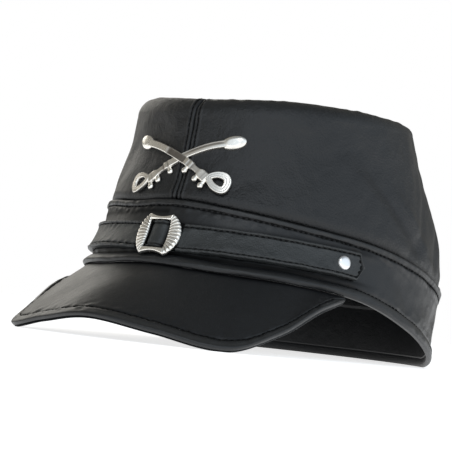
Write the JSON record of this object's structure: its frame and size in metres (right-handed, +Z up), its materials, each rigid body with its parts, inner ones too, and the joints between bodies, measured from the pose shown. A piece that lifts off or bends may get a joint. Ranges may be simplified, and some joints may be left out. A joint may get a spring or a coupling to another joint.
{
  "type": "leather kepi cap",
  "caption": "Soft black leather kepi-style cap with a short curved visor, a band with a strap and slide buckle, and a metal crossed-sabres badge on the front of the crown.",
  "frame": {"origin": "middle of the cap's outer box, on the surface that it rests on", "axes": "+Z up, the visor points along -Y, +X is the wearer's left"},
  "size_m": [0.177, 0.2702, 0.1284],
  "materials": {
    "leather": "satin black nappa",
    "nickel": "cast and polished, slightly warm",
    "chrome": "bright"
  },
  "bodies": {
    "root": {"crown_left": "leather", "crown_right": "leather", "crown_top": "leather", "band": "leather", "rim_roll": "leather", "visor_upper": "leather", "visor_lower": "leather", "strap": "leather", "buckle": "nickel", "badge": "nickel", "rivet_left": "chrome", "rivet_right": "chrome"}
  },
  "joints": []
}
